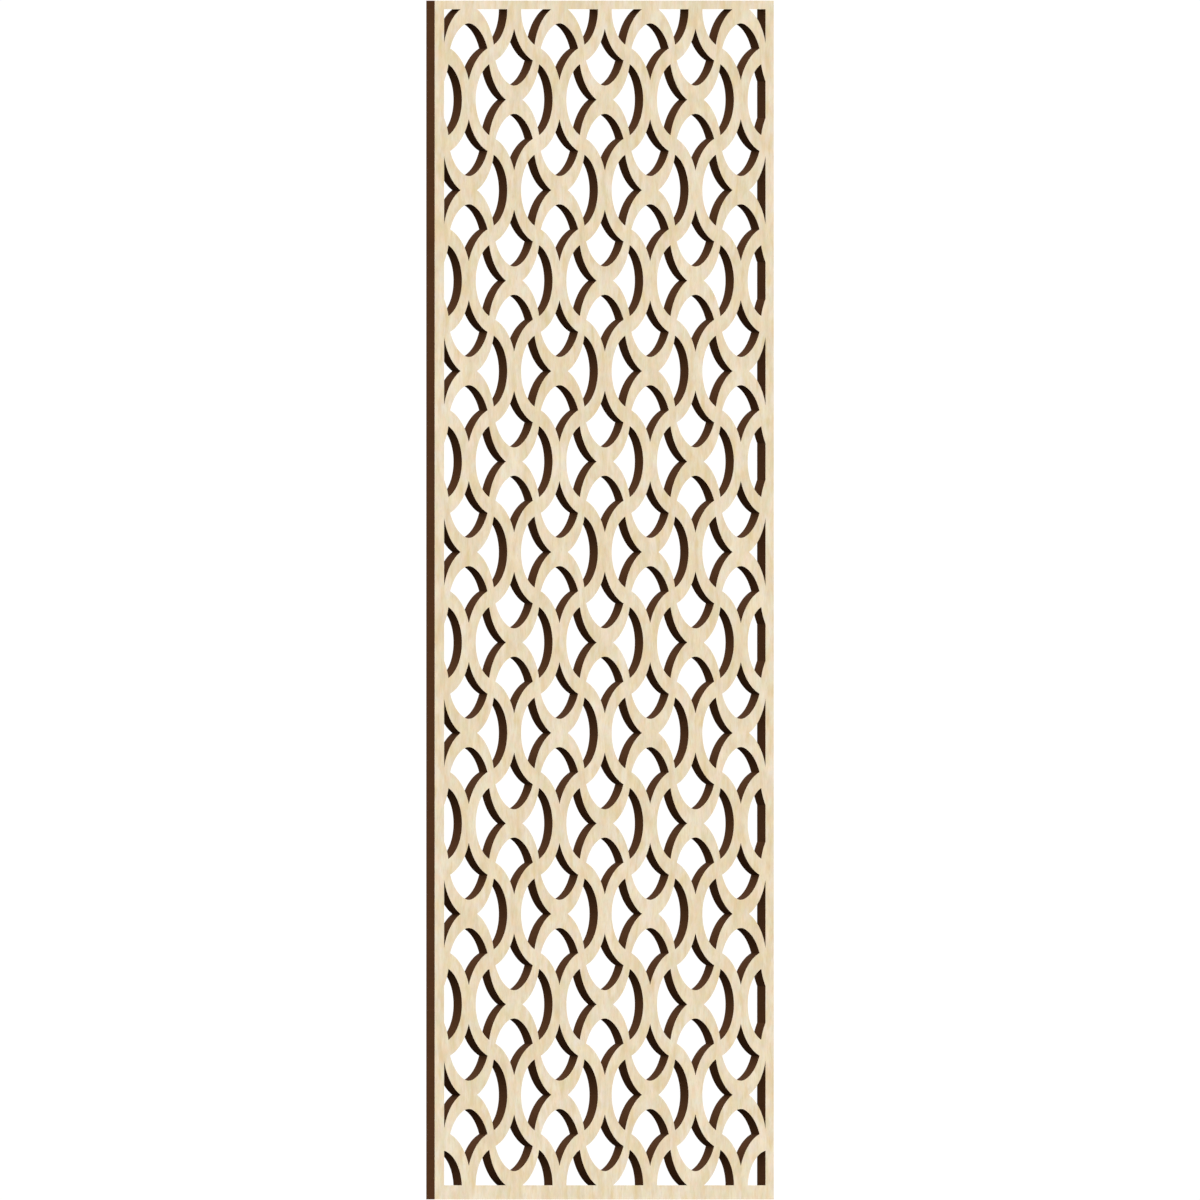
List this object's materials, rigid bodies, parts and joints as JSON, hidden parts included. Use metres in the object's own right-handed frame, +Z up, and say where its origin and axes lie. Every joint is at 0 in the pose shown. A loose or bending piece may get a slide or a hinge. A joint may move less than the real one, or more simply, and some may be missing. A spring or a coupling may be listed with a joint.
{
  "type": "fretwork grille panel",
  "caption": "Tall flat wooden panel cut right through with a wavy lattice of arches and ogee bands inside a narrow plain border.",
  "frame": {"origin": "on the flat back face, in the middle of the lattice crossing on the middle column that is nearest mid-height", "axes": "+Z up along the panel's height, +X to the right as seen from the front, +Y out of the back towards the wall; the front faces -Y"},
  "size_m": [0.5937, 0.0101, 1.1811],
  "materials": {
    "maple": "pale satin maple face with dark brown cut edges"
  },
  "bodies": {
    "root": {"fretwork_panel": "maple"}
  },
  "joints": []
}
